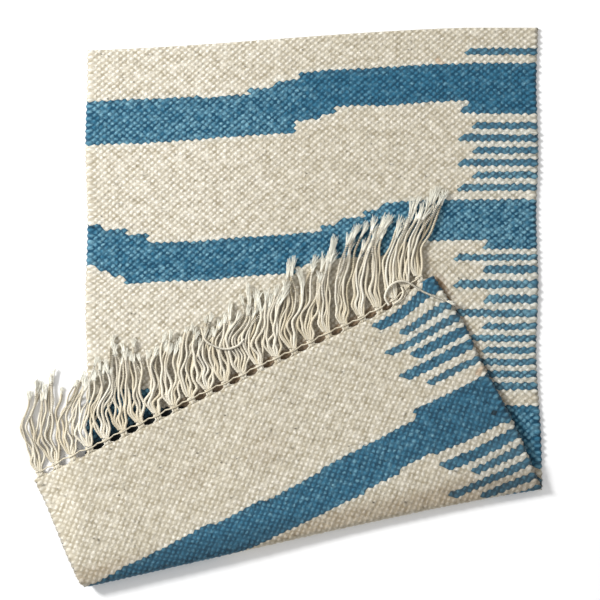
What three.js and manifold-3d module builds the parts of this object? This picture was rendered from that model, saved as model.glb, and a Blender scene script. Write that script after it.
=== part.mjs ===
// A cut length of kilim rug, lying flat with its fringed end folded back over it.
// Millimetres, +Z up. X runs across the rug to its right selvedge and Y along it to its plain end.
// The cloth is first drawn flat and unfolded, and fold() then lays each of its points where it rests.

import * as THREE from 'three';
import { mergeVertices } from 'three/addons/utils/BufferGeometryUtils.js';
import Module from 'manifold-3d';

const wasm = await Module();
wasm.setup();

// The woven cloth, unfolded
const THICKNESS = 3.6;
const WIDTH = 400; // the left selvedge is at X 0
const PLAIN_END = { left: 472, right: 492, levelFrom: 335 }; // the picks climb to the right, then run level
const FRINGED_END = { left: -112, right: -108 };
const SELVEDGE_SPREAD = { by: 4, from: 190, to: 70 }; // the right selvedge widens towards the fold
const SELVEDGE_WAVE = { height: 0.9, length: 118, leftLength: 141 };

// The fold
const CREASE = { x: 405.2, y: 89.2, angle: 13.1 }; // a point on it, and its slope in degrees
const BEND_RADIUS = { left: 6.4, right: 4.4 }; // of the middle of the cloth
const LAYER_GAP = { left: 4, right: 1 }; // under the free end of the upper layer
const SETTLED_AFTER = 0.85; // the share of its depth over which the upper layer comes down on the lower one
const TIP_PULL = { by: 7, along: 80, across: 45 }; // the corner of the fold is drawn out
// Past the left selvedge the upper layer sinks to the floor
const OVERHANG = { from: -3, over: 38 };
const RIPPLE = { height: 0.7, length: 150 };

// The fringe
const PIECE_GAP = 0.5;
const STRIP = { width: 2.4, thickness: 2.4, inset: 1.5, steps: 20 };
const BUNDLES = 24;
const YARNS_PER_BUNDLE = 5;
const NECK = { from: 1.8, to: 6, wide: 11.4, narrow: 3.4, thickness: 1.7 };
const KNOT = { past: 6.6, across: 2.5, along: 2.1, up: 1.8 };
const YARN = { width: 2.2, height: 1.7, shortest: 62, longest: 79, steps: 4 };
const YARN_FAN = { root: 1.05, spread: 2.7, partedAt: 0.35 }; // from yarn to yarn, in the knot and past it
const YARN_TAPER = { root: 0.45, tip: 0.7 }; // shares of its width, in the knot and at its tip
// Degrees from straight up the rug, to the right, with the scatter from bundle to bundle, and the share
// of its length for which a yarn keeps its knot's direction
const YARN_LEAN = { left: 2, right: 11, scatter: 14, straightFor: 0.28 };
const YARN_WAVE = { height: 2.8, turns: 1.25, shift: 2.3 };
const YARN_SETTLES = 0.3; // the share of its length over which a yarn comes down from its knot

// One loose yarn that has fallen back over the folded corner: how far it is along the end from
// the right selvedge, how far past the cloth's end, and how high its middle is
const LOOSE_YARN = [
  { along: 59, past: 8, high: 8 },
  { along: 54, past: 15, high: 9.2 },
  { along: 43, past: 16, high: 9.6 },
  { along: 29, past: 9, high: 9.6 },
  { along: 14, past: -3, high: 9.5 },
  { along: -3, past: -13, high: 9.5 },
];

const smooth = (share) => THREE.MathUtils.smoothstep(share, 0, 1);
const mix = THREE.MathUtils.lerp;
const up = new THREE.Vector3(0, 0, 1);

// Unit vectors in plan: along the crease to the right, and square to it, out of the fold
const creaseAngle = THREE.MathUtils.degToRad(CREASE.angle);
const alongCrease = new THREE.Vector3(Math.cos(creaseAngle), Math.sin(creaseAngle), 0);
const outOfFold = new THREE.Vector3(Math.sin(creaseAngle), -Math.cos(creaseAngle), 0);
const creasePoint = new THREE.Vector3(CREASE.x, CREASE.y, 0);

// A repeatable number from 0 to 1 for each whole number
function chance(seed) {
  const value = Math.sin(seed * 12.9898 + 4.1) * 43758.5453;
  return value - Math.floor(value);
}

// The flat cloth's four edges

function plainEndY(x) {
  const level = smooth(x / PLAIN_END.levelFrom);
  const straight = Math.min(x / PLAIN_END.levelFrom, 1);
  return mix(PLAIN_END.left, PLAIN_END.right, (level + straight) / 2);
}

function fringedEndY(x) {
  return mix(FRINGED_END.left, FRINGED_END.right, x / WIDTH);
}

function leftSelvedgeX(y) {
  return SELVEDGE_WAVE.height * Math.sin((y / SELVEDGE_WAVE.leftLength) * 2 * Math.PI);
}

function rightSelvedgeX(y) {
  const spread = smooth((SELVEDGE_SPREAD.from - y) / (SELVEDGE_SPREAD.from - SELVEDGE_SPREAD.to));
  const wave = Math.sin((y / SELVEDGE_WAVE.length) * 2 * Math.PI);
  return WIDTH + SELVEDGE_SPREAD.by * spread + SELVEDGE_WAVE.height * wave;
}

// The bend is tighter towards the right selvedge
function bendRadius(x) {
  return mix(BEND_RADIUS.left, BEND_RADIUS.right, x / WIDTH);
}

// The Y at which a line across the flat cloth, this far past the start of the bend, meets X
function bendLineY(x, past) {
  const start = (x - CREASE.x) * Math.sin(creaseAngle) + (bendRadius(x) * Math.PI) / 2;
  return CREASE.y + (start - past) / Math.cos(creaseAngle);
}

// How high the middle of the upper layer lies, by its distance from the bend and its depth there
function upperLayerHeight(x, fromBend) {
  const depth = (bendLineY(x, 0) - fringedEndY(x)) * Math.cos(creaseAngle);
  const share = fromBend / (depth * SETTLED_AFTER);
  const atBend = 2 * bendRadius(x);
  const settled = THICKNESS + mix(LAYER_GAP.left, LAYER_GAP.right, x / WIDTH);
  const rise = Math.sin(Math.PI * THREE.MathUtils.clamp(share, 0, 1)) ** 2;
  const ripple = RIPPLE.height * (1 + Math.sin((x / RIPPLE.length) * 2 * Math.PI));
  return THICKNESS / 2 + mix(atBend, settled, smooth(share)) + ripple * rise;
}

// Lays a point of the flat cloth where it rests. 'high' is its height above the middle of the cloth,
// on the side that is uppermost before the cloth is folded.
function fold(x, y, high) {
  const flat = new THREE.Vector3(x, y, 0);
  const fromCrease = flat.clone().sub(creasePoint);
  const radius = bendRadius(x);
  const past = fromCrease.dot(outOfFold) + (radius * Math.PI) / 2;
  const turn = THREE.MathUtils.clamp(past / radius, 0, Math.PI);

  // How far the point is from the start of the bend, and how high
  let reach = Math.min(past, 0) + (radius - high) * Math.sin(turn);
  let height = THICKNESS / 2 + radius * (1 - Math.cos(turn)) + high * Math.cos(turn);
  if (turn === Math.PI) {
    const fromBend = past - Math.PI * radius;
    reach = -fromBend;
    height = upperLayerHeight(x, fromBend) - high;
  }

  const place = flat.addScaledVector(outOfFold, reach - past);
  const fromTip = Math.min(fromCrease.dot(alongCrease), 0) / TIP_PULL.along;
  const pull = TIP_PULL.by * Math.exp(fromTip - (reach / TIP_PULL.across) ** 2);
  place.addScaledVector(outOfFold, pull);
  if (turn === Math.PI) {
    const sunk = height + high - THICKNESS / 2;
    height -= sunk * smooth((OVERHANG.from - place.x) / OVERHANG.over);
  }
  return place.setZ(height);
}

// A closed box of unit size with its points moved: 'at' takes the shares 0 to 1 across, along and up
function shapedBox(steps, at) {
  const box = new THREE.BoxGeometry(1, 1, 1, ...steps);
  box.deleteAttribute('normal');
  box.deleteAttribute('uv');
  const geometry = mergeVertices(box);
  const points = geometry.attributes.position;
  for (let i = 0; i < points.count; i += 1) {
    const place = at(points.getX(i) + 0.5, 0.5 - points.getY(i), points.getZ(i) + 0.5);
    points.setXYZ(i, place.x, place.y, place.z);
  }
  return geometry;
}

// The cloth: rows of points from the plain end to the bend, closer near it, then round the bend
// and on to the fringed end
function rugField() {
  const rows = { lower: 15, bend: 8, upper: 14 };
  const across = 20;
  const crowding = 1.5;
  const rowY = (x, row) => {
    const bendStart = bendLineY(x, 0);
    const bendEnd = bendLineY(x, Math.PI * bendRadius(x));
    if (row <= rows.lower) {
      return mix(bendStart, plainEndY(x), (1 - row / rows.lower) ** crowding);
    }
    if (row <= rows.lower + rows.bend) {
      return mix(bendStart, bendEnd, (row - rows.lower) / rows.bend);
    }
    return mix(bendEnd, fringedEndY(x), (row - rows.lower - rows.bend) / rows.upper);
  };
  const total = rows.lower + rows.bend + rows.upper;
  return shapedBox([across, total, 1], (a, b, side) => {
    const y = rowY(a * WIDTH, b * total);
    const x = mix(leftSelvedgeX(y), rightSelvedgeX(y), a);
    return fold(x, y, (side - 0.5) * THICKNESS);
  });
}

// A box laid just past the fringed end, bent with it: from one distance past the cloth to another
function pastTheEnd(steps, middleX, widths, distances, thickness) {
  return shapedBox(steps, (a, b, side) => {
    const x = middleX + (a - 0.5) * mix(widths[0], widths[1], b);
    const y = fringedEndY(x) - mix(distances[0], distances[1], b);
    return fold(x, y, (side - 0.5) * thickness);
  });
}

// How high the surface under a lying yarn is: the lower layer, or the floor past its left selvedge
function surfaceUnder(x) {
  const edge = { floor: -9, cloth: -2 };
  return (THICKNESS + PIECE_GAP) * smooth((x - edge.floor) / (edge.cloth - edge.floor));
}

// A yarn of flat section along a route, tapered a little at its tip
function yarn(route) {
  const curve = new THREE.CatmullRomCurve3(route);
  return shapedBox([1, YARN.steps, 1], (a, b, side) => {
    const place = curve.getPoint(b);
    const across = up.clone().cross(curve.getTangent(b)).normalize();
    const gathered = mix(YARN_TAPER.root, 1, smooth(b / YARN_FAN.partedAt));
    const width = YARN.width * gathered * mix(1, YARN_TAPER.tip, b);
    place.addScaledVector(across, (a - 0.5) * width);
    return place.addScaledVector(up, (side - 0.5) * YARN.height);
  });
}

// The route of one yarn of a bundle: out of the knot, then up the rug, leaning and waving beside the others
function yarnRoute(bundle, number, knotX) {
  const knot = fold(knotX, fringedEndY(knotX) - KNOT.past, 0);
  const outward = knot.clone().sub(fold(knotX, fringedEndY(knotX), 0)).setZ(0).normalize();
  const share = knotX / WIDTH;
  const scattered = (chance(bundle) - 0.5) * YARN_LEAN.scatter;
  const lean = THREE.MathUtils.degToRad(mix(YARN_LEAN.left, YARN_LEAN.right, share) + scattered);
  const onward = new THREE.Vector3(Math.sin(lean), Math.cos(lean), 0);
  const sideways = new THREE.Vector3(onward.y, -onward.x, 0);
  const fromMiddle = number - (YARNS_PER_BUNDLE - 1) / 2;
  const length = mix(YARN.shortest, YARN.longest, chance(bundle * YARNS_PER_BUNDLE + number));
  const control = knot.clone().addScaledVector(outward, YARN.longest * YARN_LEAN.straightFor);
  const farthest = knot.clone().addScaledVector(onward, YARN.longest);

  const route = [];
  for (let step = 0; step <= YARN.steps; step += 1) {
    const t = (step / YARN.steps) * (length / YARN.longest);
    const place = knot.clone().multiplyScalar((1 - t) ** 2);
    place.addScaledVector(control, 2 * t * (1 - t)).addScaledVector(farthest, t * t);
    const phase = YARN_WAVE.turns * t + YARN_WAVE.shift * share;
    const wave = Math.sin(2 * Math.PI * phase) * YARN_WAVE.height * t;
    const fan = fromMiddle * mix(YARN_FAN.root, YARN_FAN.spread, smooth(t / YARN_FAN.partedAt));
    place.addScaledVector(sideways, wave + fan);
    const lying = surfaceUnder(place.x) + YARN.height / 2;
    place.z = mix(knot.z, lying, smooth(t / YARN_SETTLES));
    route.push(place);
  }
  return route;
}

function looseYarnRoute() {
  const corner = fold(WIDTH, fringedEndY(WIDTH), 0);
  const left = fold(0, fringedEndY(0), 0);
  const alongEnd = left.sub(corner).setZ(0).normalize();
  const pastEnd = new THREE.Vector3(alongEnd.y, -alongEnd.x, 0);
  return LOOSE_YARN.map(({ along, past, high }) => {
    const place = corner.clone().addScaledVector(alongEnd, along).addScaledVector(pastEnd, past);
    return place.setZ(high);
  });
}

function toSolid(geometry) {
  const bare = geometry.clone();
  bare.deleteAttribute('normal');
  bare.deleteAttribute('uv');
  const merged = mergeVertices(bare);
  const vertProperties = new Float32Array(merged.attributes.position.array);
  const triVerts = new Uint32Array(merged.index.array);
  return new wasm.Manifold(new wasm.Mesh({ numProp: 3, vertProperties, triVerts }));
}

function toGeometry(solid) {
  const mesh = solid.getMesh();
  const geometry = new THREE.BufferGeometry();
  geometry.setAttribute('position', new THREE.BufferAttribute(mesh.vertProperties, 3));
  geometry.setIndex(new THREE.BufferAttribute(mesh.triVerts, 1));
  geometry.computeVertexNormals();
  return geometry;
}

// The fringe: a strip along the fringed end, and a neck, a knot and five yarns for each bundle
function fringe() {
  const pieces = [];
  const middle = WIDTH / 2;
  const stripWidth = WIDTH - 2 * STRIP.inset;
  const stripReach = [PIECE_GAP, PIECE_GAP + STRIP.width];
  pieces.push(pastTheEnd([STRIP.steps, 1, 1], middle, [stripWidth, stripWidth], stripReach, STRIP.thickness));
  const pitch = WIDTH / BUNDLES;
  for (let bundle = 0; bundle < BUNDLES; bundle += 1) {
    const knotX = (bundle + 0.5) * pitch;
    const neckReach = [NECK.from, NECK.to];
    pieces.push(pastTheEnd([1, 1, 1], knotX, [NECK.wide, NECK.narrow], neckReach, NECK.thickness));
    const knot = new THREE.SphereGeometry(1, 6, 3);
    knot.scale(KNOT.across, KNOT.along, KNOT.up);
    const knotPlace = fold(knotX, fringedEndY(knotX) - KNOT.past, 0);
    pieces.push(knot.translate(knotPlace.x, knotPlace.y, knotPlace.z));
    for (let number = 0; number < YARNS_PER_BUNDLE; number += 1) {
      pieces.push(yarn(yarnRoute(bundle, number, knotX)));
    }
  }
  pieces.push(yarn(looseYarnRoute()));
  return toGeometry(wasm.Manifold.union(pieces.map(toSolid)));
}

const cloth = new THREE.Mesh(
  rugField(),
  new THREE.MeshStandardMaterial({ color: '#ddd8c6', roughness: 0.95, metalness: 0 }),
);
cloth.name = 'rug_field';

const warpEnds = new THREE.Mesh(
  fringe(),
  new THREE.MeshStandardMaterial({ color: '#e6e2d4', roughness: 0.9, metalness: 0 }),
);
warpEnds.name = 'fringe';

const rug = new THREE.Group();
rug.add(cloth, warpEnds);

// The origin is under the middle of the whole, on the surface it lies on
const reach = new THREE.Box3().setFromObject(rug, true);
const centre = reach.getCenter(new THREE.Vector3());
rug.position.set(-centre.x, -centre.y, -reach.min.z);

export default rug;
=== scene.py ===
# %% [markdown]
# # A kilim rug with its fringed end folded back
# A kilim is a flat-woven rug: there is no pile, only wool weft packed so tightly over cotton warps
# that the warps vanish. Every place where the weft hops over a warp shows as one small oval bead.
# The cloth here is woven bead by bead, as a mesh with one little dome for each hop, because that is
# what catches the light on the real rug and what makes the stepped edges of its blue bands.
# Everything is measured in millimetres on the unfolded cloth and laid on its fold at the end.

import math

import bpy
import numpy as np
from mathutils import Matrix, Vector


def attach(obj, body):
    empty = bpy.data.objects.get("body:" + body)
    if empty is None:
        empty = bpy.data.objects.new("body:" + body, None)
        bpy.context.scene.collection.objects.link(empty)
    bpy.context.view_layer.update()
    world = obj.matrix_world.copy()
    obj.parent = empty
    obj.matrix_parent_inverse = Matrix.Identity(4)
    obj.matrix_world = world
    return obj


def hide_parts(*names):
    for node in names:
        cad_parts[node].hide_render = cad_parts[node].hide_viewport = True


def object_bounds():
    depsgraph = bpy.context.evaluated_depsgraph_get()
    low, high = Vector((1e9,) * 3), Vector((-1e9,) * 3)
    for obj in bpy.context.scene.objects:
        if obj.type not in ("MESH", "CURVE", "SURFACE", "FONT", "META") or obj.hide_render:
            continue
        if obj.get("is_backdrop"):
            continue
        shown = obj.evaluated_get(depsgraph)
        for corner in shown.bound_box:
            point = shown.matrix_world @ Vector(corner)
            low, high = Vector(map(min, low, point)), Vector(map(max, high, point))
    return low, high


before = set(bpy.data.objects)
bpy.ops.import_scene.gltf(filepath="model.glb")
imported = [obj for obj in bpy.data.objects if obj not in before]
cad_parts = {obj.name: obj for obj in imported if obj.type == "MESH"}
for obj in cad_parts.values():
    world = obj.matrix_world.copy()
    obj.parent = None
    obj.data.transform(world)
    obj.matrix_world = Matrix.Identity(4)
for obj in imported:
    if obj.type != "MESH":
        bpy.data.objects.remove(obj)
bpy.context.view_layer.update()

MM = 0.001
UNDER_THE_ORIGIN = np.array([175.075, 244.316, 0.0])  # of the plan, in mm


def to_frame(points):
    """Takes points of the plan in millimetres to the shared frame in metres."""
    return (np.asarray(points, float) - UNDER_THE_ORIGIN) * MM


# %% [markdown]
# ## The camera
# The rug was photographed from straight above, so the weave keeps one scale all over. A long lens
# held well away does the same here. The view is a touch wider than the real one, which lets the
# corners that lie outside the photograph be seen.

# %% Hang the camera over the rug
VIEW_WIDTH = 532.6  # mm of floor from side to side of the square picture
VIEW_CENTRE = np.array([189.5, 250.6, 0.0])
LENS = 90.0  # mm, on the usual sensor 36 mm wide
SENSOR = 36.0

lens = bpy.data.cameras.new("view_from_above")
lens.lens, lens.sensor_width = LENS, SENSOR
camera = bpy.data.objects.new("view_from_above", lens)
bpy.context.scene.collection.objects.link(camera)
camera.location = (*to_frame(VIEW_CENTRE)[:2], VIEW_WIDTH * MM * LENS / SENSOR)
bpy.context.scene.camera = camera
print("camera", round(camera.location.z, 3), "m above the floor")


# %% [markdown]
# ## The cloth before it is folded
# The flat cloth is 400 mm wide. A place on it is counted as the weaver counts: so many warps from
# the left selvedge and so many picks, or rows of weft, from the plain end. Rows climb to the right
# and lie closer together towards the fringed end, so a short table gives where some of them
# run at the left selvedge and at the right one.

# %% Count in warps and picks
THICKNESS = 3.6  # mm
WIDTH = 400.0  # mm, flat
WARP_MM = 3.2  # from warp to warp
COLUMNS = 123  # 125 warps, of which the two outermost at each selvedge are woven as one
PICKS = 217
PICK_ROWS = np.array([  # pick, and its Y at the left and at the right
    (0, 472, 492), (12, 440, 460), (28, 396, 416), (56, 320, 339.5), (72, 276, 296),
    (78, 261, 281), (90, 228, 241.9), (94, 217, 230), (114, 161.4, 177.5), (121, 142, 157.5),
    (139, 91.8, 107.9), (147, 69.5, 84.4), (179, -1.6, -9), (217, -112, -108),
])
FLAT_LENGTH = float(np.ptp(PICK_ROWS[:, 1:], axis=0).mean())  # of 584 mm at the left and 600 at the right
LEVEL_FROM = 335.0  # X past which the rows run level
STRAIGHT_FROM, STRAIGHT_OVER = 187, 30  # the pick from which rows begin to run straight, and over how many
LEFT_WAVE, RIGHT_WAVE, WAVE_HEIGHT = 141, 118, 0.9  # lengths and height of the selvedges' waves, in mm
SPREAD_FROM, SPREAD_OVER, SPREAD = 190, 120, 4  # below this Y, over this much, the cloth is this much wider
ROW_WAVER, COLUMN_WAVER = 0.55, 0.4  # mm by which rows and columns wander


def smooth(share):
    share = np.clip(share, 0, 1)
    return share * share * (3 - 2 * share)


def mix(start, end, share):
    return start + (end - start) * share


def waver(u, v, seed, longest, shortest):
    """A gentle unevenness from about -1 to 1, the same at each run."""
    chance = np.random.default_rng(seed)
    total = 0.0
    for _ in range(6):
        angle, phase = chance.uniform(0, 2 * math.pi, 2)
        length = chance.uniform(shortest, longest)
        total = total + np.sin((u * math.cos(angle) + v * math.sin(angle)) / length * 2 * math.pi + phase)
    return total / 3


def left_selvedge(y):
    return WAVE_HEIGHT * np.sin(y / LEFT_WAVE * 2 * math.pi)


def right_selvedge(y):
    wider = SPREAD * smooth((SPREAD_FROM - y) / SPREAD_OVER)
    return WIDTH + wider + WAVE_HEIGHT * np.sin(y / RIGHT_WAVE * 2 * math.pi)


def column_x(columns):
    """How far a column of warps is from the left selvedge, in mm."""
    inside = np.clip(columns, 0, COLUMNS)
    x = np.interp(inside, [0, 1, COLUMNS - 1, COLUMNS], [0, 2 * WARP_MM, WIDTH - 2 * WARP_MM, WIDTH])
    return x + (columns - inside) * WARP_MM


def on_flat_cloth(warps, picks):
    """The X and Y, before folding, of a place counted in warps and picks."""
    x = column_x(warps)
    share = x / WIDTH
    climb = (smooth(x / LEVEL_FROM) + np.minimum(x / LEVEL_FROM, 1)) / 2
    climb = mix(climb, x / WIDTH, smooth((picks - STRAIGHT_FROM) / STRAIGHT_OVER))
    left = np.interp(picks, PICK_ROWS[:, 0], PICK_ROWS[:, 1])
    right = np.interp(picks, PICK_ROWS[:, 0], PICK_ROWS[:, 2])
    y = mix(left, right, climb)
    inside = smooth(picks / 12) * smooth((PICKS - picks) / 12) * smooth(x / 20) * smooth((WIDTH - x) / 20)
    y = y + ROW_WAVER * inside * waver(x, y, seed=3, longest=120, shortest=30)
    aside = COLUMN_WAVER * inside * waver(x, y, seed=4, longest=90, shortest=25)
    return mix(left_selvedge(y), right_selvedge(y), share) + aside, y


print("one warp every", WARP_MM, "mm; one pick every", round(FLAT_LENGTH / PICKS, 2), "mm on average")


# %% [markdown]
# ## The fold
# Beyond a slanting crease the cloth turns over through half a circle and comes back above itself.
# Its corner is drawn out a little, and past the left selvedge the upper layer sinks to the floor.
# The same rule places every point, so beads, yarns and knots all follow one fold. It is the rule by
# which the solids were folded, with two small things added that the solids leave out: towards the
# right the fold is pressed flatter, and the fringed corner is drawn in.

# %% Fold any point of the flat cloth
CREASE = np.array([405.2, 89.2])
SLANT = math.radians(13.1)
ALONG_CREASE = np.array([math.cos(SLANT), math.sin(SLANT)])
OUT_OF_FOLD = np.array([math.sin(SLANT), -math.cos(SLANT)])
BEND_RADIUS = (6.4, 4.4)  # mm, at the left selvedge and at the right
LAYER_GAP = (4.0, 1.0)  # mm under the free end, at its left and at its right
SETTLED_AFTER = 0.85  # the share of its depth over which the upper layer comes down from the bend
RIPPLE, RIPPLE_LENGTH = 0.7, 150  # mm
TIP_PULL, TIP_ALONG, TIP_ACROSS = 7, 80, 45  # mm that the corner is drawn out, and how far that is felt
SINK_FROM, SINK_OVER = -3, 38  # X at which the upper layer starts to sink to the floor, and over how much
PRESSED, PRESSED_ACROSS = 2.6, 27  # mm by which the fold is flattened, and how far from the bend
CORNER_MOVE = (-10.0, 6.5)  # mm by which the fringed corner is drawn in, in plan


def bend_radius(x):
    return mix(*BEND_RADIUS, x / WIDTH)


def fringed_end(x):
    return mix(*PICK_ROWS[-1, 1:], x / WIDTH)


def upper_layer_height(x, from_bend):
    start = CREASE[1] + ((x - CREASE[0]) * math.sin(SLANT) + bend_radius(x) * math.pi / 2) / math.cos(SLANT)
    depth = (start - fringed_end(x)) * math.cos(SLANT)
    share = np.clip(from_bend / (depth * SETTLED_AFTER), 0, 1)
    ripple = RIPPLE * (1 + np.sin(x / RIPPLE_LENGTH * 2 * math.pi)) * np.sin(math.pi * share) ** 2
    settled = THICKNESS + mix(*LAYER_GAP, x / WIDTH)
    return THICKNESS / 2 + mix(2 * bend_radius(x), settled, smooth(share)) + ripple


def rolled_down(x, from_bend):
    """How far the upper layer sinks towards the fold, which is pressed flatter to the right."""
    near = 1 - np.clip(from_bend / PRESSED_ACROSS, 0, 1)
    return PRESSED * smooth((x - 100) / 150) * near**2


def drawn_in(x, y):
    """How far the fringed corner at the right selvedge is drawn up and to the left, in plan."""
    share = smooth((x - 345) / 55) * smooth((-62 - y) / 46)
    return share * CORNER_MOVE[0], share * CORNER_MOVE[1]


def fold(x, y, high):
    """Lays points of the flat cloth where they rest; 'high' is above the middle of the cloth."""
    x, y, high = np.broadcast_arrays(np.asarray(x, float), np.asarray(y, float), np.asarray(high, float))
    from_x, from_y = x - CREASE[0], y - CREASE[1]
    radius = bend_radius(x)
    past = from_x * OUT_OF_FOLD[0] + from_y * OUT_OF_FOLD[1] + radius * math.pi / 2
    turn = np.clip(past / radius, 0, math.pi)
    reach = np.minimum(past, 0) + (radius - high) * np.sin(turn)
    height = THICKNESS / 2 + (radius - rolled_down(x, 0) / 2) * (1 - np.cos(turn)) + high * np.cos(turn)
    turned = turn >= math.pi
    from_bend = past - math.pi * radius
    reach = np.where(turned, -from_bend, reach)
    upper = upper_layer_height(x, from_bend) - rolled_down(x, from_bend) - high
    height = np.where(turned, upper, height)
    from_tip = np.minimum(from_x * ALONG_CREASE[0] + from_y * ALONG_CREASE[1], 0) / TIP_ALONG
    pull = TIP_PULL * np.exp(from_tip - (reach / TIP_ACROSS) ** 2)
    left, up = drawn_in(x, y)
    place_x = x + OUT_OF_FOLD[0] * (reach - past + pull) + left
    place_y = y + OUT_OF_FOLD[1] * (reach - past + pull) + up
    sunk = (height + high - THICKNESS / 2) * smooth((SINK_FROM - place_x) / SINK_OVER)
    return np.stack([place_x, place_y, height - np.where(turned, sunk, 0)], -1)


corners = fold([0, WIDTH, 0, WIDTH], [*PICK_ROWS[0, 1:], *PICK_ROWS[-1, 1:]], 0)
print("corners of the laid cloth, mm:", corners.round(1).tolist())


# %% [markdown]
# ## The pattern
# Bands of blue cross a cream ground. A weaver can only change colour from one warp to the next and
# from one pick to the next, so a band that wanders does it in steps, and its ends run out into
# combs of short stripes, two or three picks blue and about two cream. This is a common kilim pattern,
# and it is charted here by count. A step table holds the distance from the left selvedge in mm at which
# each step starts, and its pick.

# %% Chart the bands and combs
BANDS = [
    ([(0, 17), (101, 18), (145, 16), (167, 14), (189, 12)],
     [(0, 31), (186, 27), (208, 26), (221, 24), (338, 26)]),
    ([(0, 57), (13, 59), (35, 61), (55, 64), (207, 62), (225, 60), (246, 58), (263, 56)],
     [(0, 70), (9, 72), (22, 74), (34, 77), (185, 75), (193, 74), (203, 73), (279, 69), (360, 70)]),
    ([(0, 114), (20, 111), (53, 117), (205, 118), (292, 121)], [(0, 132), (205, 135), (292, 139)]),
    ([(0, 167), (255, 168), (290, 169), (328, 168), (393, 167)],
     [(0, 181), (128, 180), (175, 179), (232, 180), (328, 183)]),
]
POINT = 3.0  # mm that the last pick of a stripe reaches further, just under a warp
UNEVEN_TIP = 0.4  # mm
# First pick of each stripe, how many picks it has, and its length in mm from the right selvedge
COMB = [(7, 2, 65), (26, 2, 71), (70, 2, 47)]
COMB += [(31 + 4 * k, 2, (57, 71)[k % 2]) for k in range(6)]
COMB += [(74 + 4 * k, 2, (75, 49.5)[k % 2]) for k in range(11)]
COMB += [(142, 2, 54), (146, 2, 79), (150, 2, 54), (154, 2, 76.7), (158, 2, 54), (162, 3, 73.5)]
COMB += [(188, 2, 54), (193, 3, 70.5), (198, 3, 54), (203, 2, 74), (207, 2, 54), (212, 3, 74)]
CORNER = (387, 213)  # the last picks are blue for a few warps at the right selvedge


def step_at(steps, across):
    starts, picks = np.array(steps).T
    return picks[np.searchsorted(starts, across, side="right") - 1]


def is_blue(warp, pick):
    """Whether the weft is blue where pick number 'pick' crosses warp number 'warp'."""
    across = column_x(warp + 0.5)
    blue = (across > CORNER[0]) & (pick >= CORNER[1])
    for first, last in BANDS:
        blue |= (pick >= step_at(first, across)) & (pick < step_at(last, across))
    chance = np.random.default_rng(11)
    for first, picks, length in COMB:
        tip = WIDTH - length + chance.uniform(-UNEVEN_TIP, UNEVEN_TIP)
        blue |= (pick == first + picks - 1) & (across > tip)
        blue |= (pick >= first) & (pick < first + picks) & (across > tip + POINT)
    return blue


warp_numbers, pick_numbers = np.meshgrid(np.arange(COLUMNS), np.arange(PICKS))
chart = is_blue(warp_numbers, pick_numbers)
print("share of the cloth that is blue:", round(chart.mean(), 3))


# %% [markdown]
# ## Beads
# On one face the weft hops over a warp wherever warp number plus pick number is even, and on the
# other face wherever it is odd. So each face is a board of small domes set corner to corner, and
# the back of the cloth is the same board moved by one. The weft dives at the corners, which lie
# deepest, and leans on its neighbours half way between two corners. It leans more on those that its
# own twist points at, so the beads line up in slanting rows. Each bead that can be seen gets a ridge
# of three points and these four leaning points. The hidden ones keep four plain sides.

# %% Name the places on a bead
FACE = 1.45  # mm from the middle of the cloth to the mean of a face
TOP, RIDGE, DIVE = 0.42, 0.14, -0.5  # heights on a bead, from the face
LEANING, APART = -0.04, -0.24  # between two beads of one slanting row, and of two rows
RIDGE_END = (0.45, -0.14)  # in warps and picks from the top of the bead
RIGHT, LEFT, NEXT, LAST = (1, 0), (-1, 0), (0, 1), (0, -1)  # steps in warps and picks
HIDDEN_SIDE, HIDDEN_END = 6, 8  # mm in from the flap's selvedge and end, where it hides the lower layer
BACK_SEEN_FROM = -12  # mm past the crease

chance = np.random.default_rng(5)
places, heights = [], []  # in warps and picks, and in mm from the middle of the cloth


def add_points(warps, picks, high):
    """Keeps new points and gives their numbers, in the shape of the warps' array."""
    first = sum(len(p) for p in places)
    places.append(np.stack([warps.ravel(), picks.ravel()], -1))
    heights.append(np.broadcast_to(high, warps.shape).ravel())
    return first + np.arange(warps.size).reshape(warps.shape)


def past_the_crease(warps, picks):
    x, y = on_flat_cloth(warps, picks)
    return (x - CREASE[0]) * OUT_OF_FOLD[0] + (y - CREASE[1]) * OUT_OF_FOLD[1]


def seen_from_the_flap(warps, picks):
    """Where a place on the lower layer lies under the upper one: how far across it, and past its end."""
    x, y = on_flat_cloth(warps, picks)
    past = past_the_crease(warps, picks)
    across, along = x - 2 * past * OUT_OF_FOLD[0], y - 2 * past * OUT_OF_FOLD[1]
    return across, fringed_end(across) - along


def under_the_flap(warps, picks):
    across, past_its_end = seen_from_the_flap(warps, picks)
    covered = (across < WIDTH - HIDDEN_SIDE) & (past_its_end < -HIDDEN_END)
    return covered & (past_the_crease(warps, picks) < 0)


# %% [markdown]
# The two faces meet in a rim of points at half the cloth's height, which closes the sheet. Along
# the selvedges the rim swells at every second pick, where the weft turns round the last warp.
# Hand-spun yarn is thick and thin by turns, so the beads of one pick swell and shrink together.
# Beside a change of colour the dives are pressed towards it, which evens the edge of a band out.

# %% Set out the places of both faces
TURN_OUT, TURN_IN = 0.1, 0.12  # warps by which the weft swells and draws in at a selvedge
STRAY, HALF_WAY_STRAY = 0.2, 0.1  # warps and picks by which tops and leaning points are out of place
TOWARDS_OTHER, TOWARDS_CREAM = 0.22, 0.1  # picks by which dives are pressed beside a change of colour

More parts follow.
